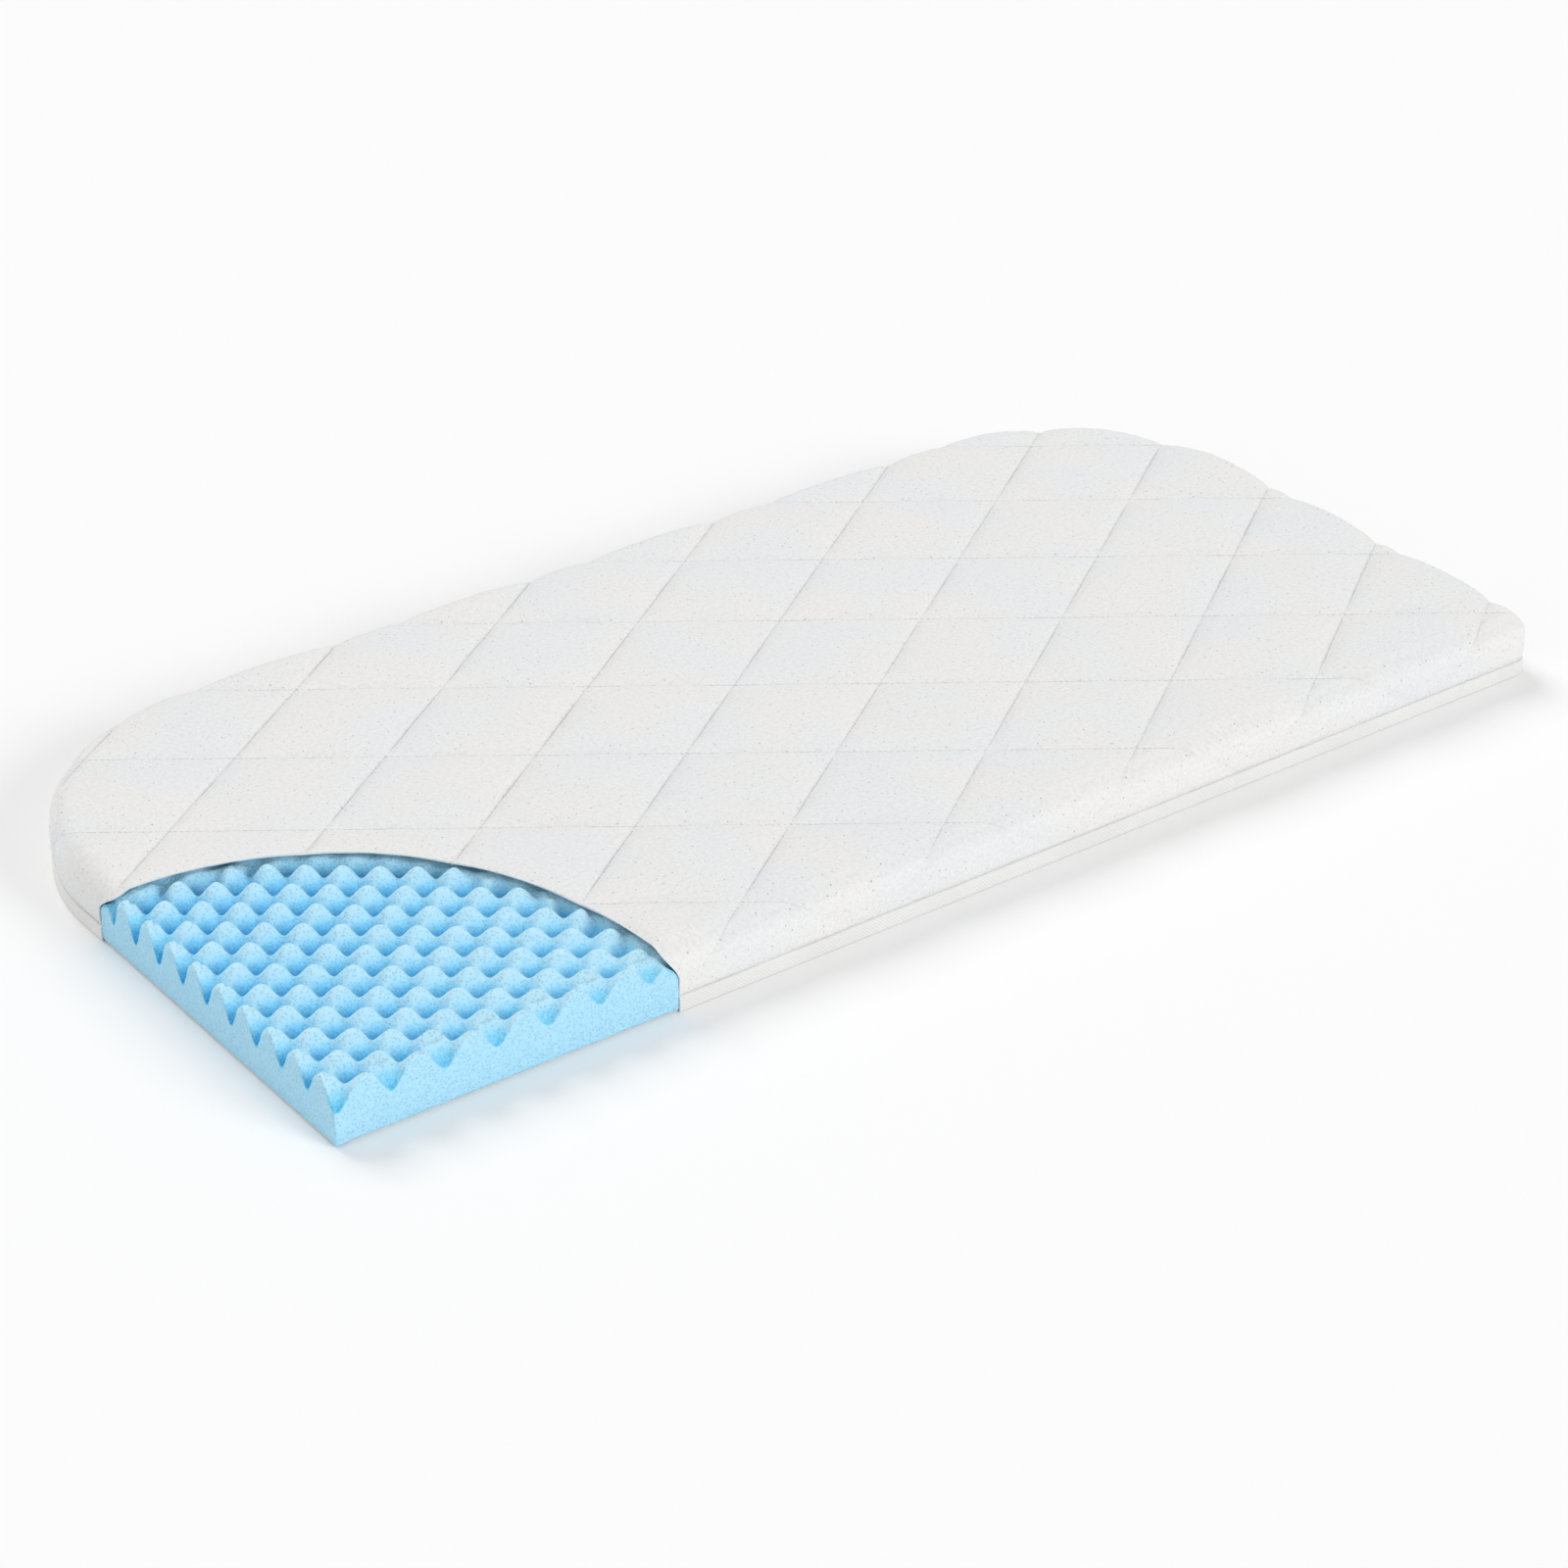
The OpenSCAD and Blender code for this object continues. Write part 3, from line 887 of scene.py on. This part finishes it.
def turned_up_edge(path, out, wave):
    """The strip outside the window, from the floor up to the seam: insets and heights in mm."""
    # The strip's two ends are moved onto the window's edge on each wall.
    for end in (0, -1):
        on_front = abs(path[end][1] + HALF_W) < MM
        front, left = (WINDOW_L + FLARE_X - HALF_L, -HALF_W), (-HALF_L, WINDOW_W + FLARE_Y - HALF_W)
        path[end] = front if on_front else left
    outer = (
        (1.0, 0.0), (0.4, 0.1), (0.15, 0.4), (0.05, 1.2), (0.0, 3.0),
        (0.0, 5.8), (0.05, 7.8), (0.2, 9.2), (0.5, 9.85), (1.1, 10.1),
    )
    rows = []
    for inset, z in outer:
        rows.append(raised(path - out * (inset * MM - wave * (z / 9))[:, None], z * MM))
    for inset, z in reversed(outer):
        rows.append(raised(path - out * ((inset + 1.0) * MM), z * MM))
    n, p = len(rows), len(path)
    faces = []
    for i in range(n):
        a, b = i * p + np.arange(p), (i + 1) % n * p + np.arange(p)
        faces += np.stack([a[:-1], a[1:], b[1:], b[:-1]], 1).tolist()
    faces.append([i * p for i in range(n)])
    faces.append([i * p + p - 1 for i in reversed(range(n))])
    return np.concatenate(rows), faces


# -------- threads
def make_stitches(name, node, starts, ends, normals, radius, arch):
    """Many short stitches, each a five-sided tube that dips into the cloth at both ends."""
    sides = 5
    along = unit(ends - starts)
    across = unit(np.cross(along, normals))
    up = np.cross(across, along)
    rings = []
    for share, lift, size in ((0.0, -0.3, 0.55), (0.28, 0.8, 1.0), (0.72, 0.8, 1.0), (1.0, -0.3, 0.55)):
        centre = starts + (ends - starts) * share + up * arch * lift
        for k in range(sides):
            turn = 2 * math.pi * k / sides
            rings.append(centre + (across * math.cos(turn) + up * math.sin(turn)) * radius * size)
    points = np.stack(rings, 1)
    per = points.shape[1]
    shift = np.arange(len(points)) * per
    faces = (turned(ring_faces(per // sides, sides))[None] + shift[:, None, None]).reshape(-1, 4).tolist()
    for cap in (np.arange(sides)[::-1], np.arange(per - sides, per)):
        faces += (cap[None] + shift[:, None]).tolist()
    make_piece(name, points.reshape(-1, 3), faces, "thread", node)


def make_quilting_thread():
    """Running stitches along both sets of quilting seams, over the top and down the walls."""
    pitch, length = 3.6 * MM, 2.7 * MM
    seams = 14
    half_run = 1.3
    starts, ends = [], []
    for sign in (1, -1):
        heading = np.array([DIAMOND_L, sign * DIAMOND_W]) / math.hypot(DIAMOND_L, DIAMOND_W)
        for k in range(-seams, seams + 1):
            origin = np.array([CROSS_X + k * DIAMOND_L, CROSS_Y])
            run = np.arange(-half_run, half_run, pitch)
            starts.append(origin + run[:, None] * heading)
            ends.append(origin + (run + length)[:, None] * heading)
    starts, ends = np.concatenate(starts), np.concatenate(ends)
    middle = (starts + ends) / 2
    s, _ = outline_distance(middle, BASE_IN + EDGE_R)
    keep = (s < wall_reach(SEAM_Z) - 2.5 * MM) & (np.abs(middle[:, 0]) < 0.5)
    keep &= window_distance(middle)[0] > 2 * MM
    keep &= slot_depths(middle)[0] <= -3 * MM
    starts, ends, middle = starts[keep], ends[keep], middle[keep]
    (a, _), (b, _), (_, normal) = (wrap_down(flat, 0.12 * MM) for flat in (starts, ends, middle))
    make_stitches("quilting_stitches", "quilting_thread", a, b, normal, 0.22 * MM, 0.3 * MM)


def make_edge_seam():
    """Close slanted stitches along the seam between the quilt and the turned-up edge."""
    loop = outline_loop(1.75 * MM, 2.6 * MM)
    out = loop_directions(loop)
    keep = window_distance(on_wall(loop, out, SEAM_Z))[0] > 1 * MM
    keep &= ~((np.abs(loop[:, 0]) < SLOT_HALF) & (loop[:, 1] > 0))
    along = np.c_[-out[:, 1], out[:, 0]]
    a = raised(loop, SEAM_Z - 0.9 * MM)[keep]
    b = raised(loop + along * 1.5 * MM, SEAM_Z + 0.7 * MM)[keep]
    normal = raised(out, 0.0)[keep]
    make_stitches("edge_seam_stitches", "edge_seam_thread", a, b, normal, 0.2 * MM, 0.35 * MM)


# -------- zip
def tube(path, radius, sides, start_up=(0, 0, 1)):
    """Points and faces of a closed round tube along a path."""
    path = np.asarray(path, dtype=float)
    along = unit(np.gradient(path, axis=0))
    across = unit(np.cross(along, np.asarray(start_up, dtype=float)))
    up = np.cross(across, along)
    turns = 2 * math.pi * np.arange(sides) / sides
    ring = across[:, None] * np.cos(turns)[None, :, None] + up[:, None] * np.sin(turns)[None, :, None]
    points = (path[:, None] + ring * radius).reshape(-1, 3)
    faces = turned(ring_faces(len(path), sides)).tolist()
    faces.append(list(range(sides))[::-1])
    faces.append(list(range(len(points) - sides, len(points))))
    return points, faces


def joined(parts):
    """One set of points and faces from several."""
    points, faces, base = [], [], 0
    for p, f in parts:
        points.append(np.asarray(p))
        faces += [[i + base for i in face] for face in f]
        base += len(p)
    return np.concatenate(points), faces


def plate(outline, low_y, high_y, bevel):
    """A plate with rounded rims: an outline in X and Z, given a thickness along Y."""
    outline = np.asarray(outline, dtype=float)
    before, after = outline - np.roll(outline, 1, 0), np.roll(outline, -1, 0) - outline
    tangent = unit(unit(before) + unit(after))
    x, z = outline.T
    area = float(np.sum(x * np.roll(z, -1) - np.roll(x, -1) * z))
    side = np.c_[tangent[:, 1], -tangent[:, 0]] * (1 if area > 0 else -1)
    rows = []
    for face_y, sign, steps in ((low_y, 1, (0, 1, 2, 3)), (high_y, -1, (3, 2, 1, 0))):
        for step in steps:
            turn = math.pi / 2 * step / 3
            inward, up = bevel * (1 - math.sin(turn)), bevel * (1 - math.cos(turn))
            rows.append((outline - side * inward, face_y + sign * up))
    points = np.concatenate([raised(xz, y)[:, [0, 2, 1]] for xz, y in rows])
    k, n = len(outline), len(rows)
    faces = [*ring_faces(n, k).tolist(), np.arange(k).tolist(), (np.arange(k) + (n - 1) * k)[::-1].tolist()]
    if area < 0:
        faces = [face[::-1] for face in faces]
    return points, faces


def rounded_outline(corners, radius, steps=5):
    """A closed outline through corners, each one rounded."""
    corners = np.asarray(corners, dtype=float)
    points = []
    for i, corner in enumerate(corners):
        back = corners[i - 1] - corner
        ahead = corners[(i + 1) % len(corners)] - corner
        r = min(radius, 0.45 * np.linalg.norm(back), 0.45 * np.linalg.norm(ahead))
        start = corner + back / np.linalg.norm(back) * r
        end = corner + ahead / np.linalg.norm(ahead) * r
        for k in range(steps + 1):
            t = k / steps
            points.append((1 - t) ** 2 * start + 2 * t * (1 - t) * corner + t**2 * end)
    return np.array(points)


def make_tape(name, node):
    """A woven zip tape with a slight wave."""
    low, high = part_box(node)
    # The two tapes meet behind the coils, and each runs on behind the cloth it is sewn to.
    bottom = ZIP_Z + 0.03 * MM if low.z > ZIP_Z - MM else low.z - 1 * MM
    top = ZIP_Z - 0.03 * MM if high.z < ZIP_Z + MM else high.z + 1 * MM
    flat, faces = grid(np.linspace(low.x, high.x, 161), np.linspace(bottom, top, 9))
    wave = 0.12 * MM * smooth_noise(flat, 40 * MM, 41)
    front = raised(flat, high.y + wave)[:, [0, 2, 1]]
    rear = front - (0, high.y - low.y, 0)
    points, faces = shell(front, rear, turned(faces))
    make_piece(name, points, faces, "zip_tape", node, sharp=40)


def make_coil(name, node):
    """A spiral of nylon wire round a filler cord."""
    low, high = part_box(node)
    pitch, wire = 1.45 * MM, 0.27 * MM
    radius_y = (high.y - low.y) / 2 - wire
    # The loops of the two coils reach past the middle and lie between each other.
    upper = low.z + high.z > 2 * ZIP_Z
    bottom = ZIP_Z - 0.3 * MM if upper else low.z
    top = high.z if upper else ZIP_Z + 0.3 * MM
    radius_z = (top - bottom) / 2 - wire
    middle_y, middle_z = (low.y + high.y) / 2, (bottom + top) / 2
    steps = 9
    turns = (high.x - low.x - 2 * wire) / pitch - 0.5
    t = np.arange(int(turns * steps)) / steps + (0.5 if upper else 0)
    path = np.c_[
        low.x + wire + t * pitch,
        middle_y + radius_y * np.sin(2 * math.pi * t),
        middle_z + radius_z * np.cos(2 * math.pi * t),
    ]
    core = np.c_[np.linspace(low.x, high.x, 120), np.full(120, middle_y), np.full(120, middle_z)]
    parts = [tube(path, wire, 5, (1, 0, 0.01)), tube(core, 0.4 * MM, 8)]
    make_piece(name, *joined(parts), "zip_coil", node)


def make_zip_stitching():
    """Two rows of lockstitch through the tapes."""
    low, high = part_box("zip_stitching")
    pitch, length = 3.0 * MM, 2.3 * MM
    x = np.arange(low.x + MM, high.x - pitch, pitch)
    starts = []
    for z in (low.z + 0.3 * MM, high.z - 0.3 * MM):
        starts.append(np.c_[x, np.full(len(x), low.y + 0.15 * MM), np.full(len(x), z)])
    starts = np.concatenate(starts)
    ends = starts + (length, 0, 0)
    normal = np.tile((0.0, 1.0, 0.0), (len(starts), 1))
    make_stitches("zip_stitch_rows", "zip_stitching", starts, ends, normal, 0.16 * MM, 0.2 * MM)


def corners(x0, x1, z0, z1):
    return [(x0, z0), (x1, z0), (x1, z1), (x0, z1)]


def make_stops(name, node, parts):
    """Small pressed metal clips at the coils' ends."""
    low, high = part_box(node)
    step = (high.z - low.z) / parts
    pieces = []
    for k in range(parts):
        z0, z1 = low.z + step * k + 0.1 * MM, low.z + step * (k + 1) - 0.1 * MM
        outline = rounded_outline(corners(low.x, high.x, z0, z1), 0.5 * MM)
        pieces.append(plate(outline, low.y, high.y + 0.15 * MM, 0.25 * MM))
    make_piece(name, *joined(pieces), "zip_metal", node)


PIVOT = next(Vector(j["pos_m"]) for j in frame["joints"] if j["name"] == "pull_tab_hinge")


def make_slider():
    """Two curved plates with side flanges, a bridge between the coils and two ears."""
    low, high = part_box("zip_slider")
    cx, cz = (low.x + high.x) / 2, (low.z + high.z) / 2
    half_l, half_w = (high.x - low.x) / 2, (high.z - low.z) / 2
    metal = 0.6 * MM
    tape_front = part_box("zip_tape_upper")[1].y
    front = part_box("zip_coil_upper")[1].y + 0.2 * MM
    # Half the outline from the throat's point to the tail, in shares of half the length and width
    side = ((1, 0.55), (0.62, 1), (0.1, 0.9), (-1, 0.78))
    shape = [(x, -z) for x, z in reversed(side)] + [(0.78, 0)] + list(side)
    face = rounded_outline([(cx + x * half_l, cz + z * half_w) for x, z in shape], 1.6 * MM)
    parts = [
        plate(face, front, front + metal, 0.22 * MM),
        plate(face, low.y, low.y + metal, 0.22 * MM),
    ]
    for side in (-1, 1):
        z_out, z_in = cz + side * 0.97 * half_w, cz + side * 0.74 * half_w
        rail = rounded_outline(corners(cx - 0.7 * half_l, cx + 0.66 * half_l, z_in, z_out), 0.4 * MM)
        parts.append(plate(rail, tape_front + 0.2 * MM, front + 0.3 * MM, 0.12 * MM))
        z0, z1 = sorted((cz + side * 1.55 * MM, cz + side * 2.3 * MM))
        turns = [math.radians(a) for a in range(0, 181, 20)]
        ear = [(PIVOT.x + 0.62 * MM * math.cos(t), PIVOT.y + 0.6 * MM * math.sin(t)) for t in turns]
        ear = [(PIVOT.x + 0.95 * MM, front + 0.4 * MM), *ear, (PIVOT.x - 0.95 * MM, front + 0.4 * MM)]
        points, faces = plate(ear, z0, z1, 0.12 * MM)
        parts.append((points[:, [0, 2, 1]], [f[::-1] for f in faces]))
    bridge = corners(high.x - 3 * MM, high.x - 1 * MM, cz - 0.2 * MM, cz + 0.2 * MM)
    parts.append(plate(bridge, low.y + 0.3 * MM, front + 0.3 * MM, 0.02 * MM))
    make_piece("slider_body", *joined(parts), "zip_metal", "zip_slider", body="slider", sharp=50)


def make_pull_tab():
    """A pressed tab with an eye, on its barrel and pins."""
    low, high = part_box("zip_pull_tab")
    cz = (low.z + high.z) / 2
    half = (high.z - low.z) / 2
    mid_y = PIVOT.y
    thick = 0.45 * MM
    neck_x = PIVOT.x - 2.0 * MM
    turns = [math.radians(a) for a in range(-90, 91, 15)]
    end = [(low.x + half - half * math.cos(t), cz - half * math.sin(t)) for t in turns]
    neck = [
        (PIVOT.x - 0.2 * MM, 1.25 * MM), (neck_x + 0.5 * MM, 1.3 * MM),
        (neck_x - 1.2 * MM, 0.8 * half), (neck_x - 4 * MM, 0.86 * half),
    ]
    outline = [(x, cz + z) for x, z in neck] + end + [(x, cz - z) for x, z in reversed(neck)]
    parts = [ring_plate(outline, (low.x + half, cz), 0.42 * half, mid_y - thick, mid_y + thick, 0.15 * MM)]
    for half_z, radius, rings, sides in ((1.35 * MM, 0.58 * MM, 7, 20), (2.3 * MM, 0.34 * MM, 5, 16)):
        path = [(PIVOT.x, mid_y, z) for z in np.linspace(cz - half_z, cz + half_z, rings)]
        parts.append(tube(path, radius, sides, (1, 0, 0)))
    make_piece("pull_tab_metal", *joined(parts), "zip_metal", "zip_pull_tab", body="pull_tab", sharp=45)


def ring_plate(outline, eye, eye_r, low_y, high_y, bevel):
    """A plate with one round eye through it. The outline runs from its first point to its last."""
    outer = resample(np.asarray(outline, dtype=float), 96)
    bearing = np.arctan2(*(outer - np.asarray(eye)).T[::-1])
    inner = np.asarray(eye) + eye_r * np.c_[np.cos(bearing), np.sin(bearing)]
    inward = unit(inner - outer)
    rows = [
        (outer, low_y + bevel), (outer, high_y - bevel), (outer + inward * bevel, high_y),
        (outer + (inner - outer) * 0.5, high_y), (inner - inward * bevel, high_y), (inner, high_y - bevel),
        (inner, low_y + bevel), (inner - inward * bevel, low_y),
        (outer + (inner - outer) * 0.5, low_y), (outer + inward * bevel, low_y),
    ]
    points = np.concatenate([raised(xz, y)[:, [0, 2, 1]] for xz, y in rows])
    return points, ring_faces(len(rows), len(outer), closed=True).tolist()


def resample(outline, count):
    """Evenly spaced points round a closed outline."""
    closed = np.vstack([outline, outline[:1]])
    run = np.concatenate([[0], np.cumsum(np.hypot(*np.diff(closed, axis=0).T))])
    at = np.linspace(0, run[-1], count, endpoint=False)
    return np.c_[np.interp(at, run, closed[:, 0]), np.interp(at, run, closed[:, 1])]


def make_care_label():
    """A blank satin label, folded double and caught in the seam."""
    low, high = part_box("care_label")
    columns, rows, bends = 15, 24, 7
    height = high.z - low.z
    fold = 0.3 * MM
    thin = 0.09 * MM
    # The label in section: up its back, over the fold and down its front, as depth and height
    back, front = [], []
    for i in range(rows):
        t = i / (rows - 1)
        z = low.z + t * (height - fold)
        back.append((0.10 * MM + 0.06 * MM * math.sin(math.pi * t), z))
        front.append((0.46 * MM + 0.22 * MM * math.sin(math.pi * t), z))
    turns = [math.pi * i / bends for i in range(1, bends)]
    over = [(0.28 * MM - 0.18 * MM * math.cos(t), high.z - fold + fold * math.sin(t)) for t in turns]
    profile = np.array(back + over + front[::-1])
    index, faces = grid(np.linspace(low.x, high.x, columns), np.arange(len(profile)))
    x, (out, z) = index[:, 0], profile[index[:, 1].astype(int)].T
    out = out + 0.12 * MM * smooth_noise(np.c_[x, z], 22 * MM, 51) * (z - low.z) / height
    middle = np.c_[x, low.y + 0.1 * MM + out, z]
    faces = turned(faces)
    normal = point_normals(middle, faces)
    points, faces = shell(middle + normal * thin, middle - normal * thin, faces)
    make_piece("blank_care_label", points, faces, "label", "care_label")


# -------- stage
def make_floor():
    half, squares = 12.0, 24
    line = np.linspace(-half, half, squares + 1)
    flat, faces = grid(line, line)
    floor = new_mesh("studio_floor", raised(flat, -0.05 * MM), faces)
    floor.data.materials.append(floor_material())


def make_light(name, turn, height, soft, strength):
    """A broad distant softbox: its bearing from +Y towards +X, its height and width in degrees."""
    data = bpy.data.lights.new(name, "SUN")
    data.angle = math.radians(soft)
    data.energy = strength
    lamp = add_object(name, data)
    lamp.rotation_euler = (math.radians(90 - height), 0, math.radians(180 - turn))


def make_camera():
    data = bpy.data.cameras.new("photo_camera")
    data.sensor_width = 36.0
    data.lens = CAMERA_LENS
    camera = add_object("photo_camera", data)
    camera.location = CAMERA_PLACE
    camera.rotation_euler = (math.radians(90 - CAMERA_DOWN), 0, math.radians(-CAMERA_TURN))
    bpy.context.scene.camera = camera


def make_world():
    world = bpy.data.worlds.new("studio")
    world.use_nodes = True
    sky = world.node_tree.nodes["Background"]
    sky.inputs["Color"].default_value = (1.0, 1.0, 1.0, 1.0)
    sky.inputs["Strength"].default_value = WORLD_STRENGTH
    bpy.context.scene.world = world
    bpy.context.scene.view_settings.view_transform = "Standard"


CAMERA_PLACE = (-1.2884, -1.7445, 1.2237)
CAMERA_TURN = 36.64
CAMERA_DOWN = 30.03
CAMERA_LENS = 92.05
WORLD_STRENGTH = 0.565

make_camera()
make_ticking()
make_wadding()
make_backing()
make_foam()
make_bottom_panel()
make_quilting_thread()
make_edge_seam()
make_tape("zip_tape_upper_woven", "zip_tape_upper")
make_tape("zip_tape_lower_woven", "zip_tape_lower")
make_coil("zip_coil_upper_nylon", "zip_coil_upper")
make_coil("zip_coil_lower_nylon", "zip_coil_lower")
make_zip_stitching()
make_stops("zip_top_stop_clips", "zip_top_stops", 2)
make_stops("zip_bottom_stop_clip", "zip_bottom_stop", 1)
make_slider()
make_pull_tab()
make_care_label()
make_floor()
make_world()
make_light("front_softbox", 160, 24, 24, 1.32)
make_light("back_softbox", -2, 46, 34, 1.2)
make_light("side_softbox", 262, 20, 50, 0.3)
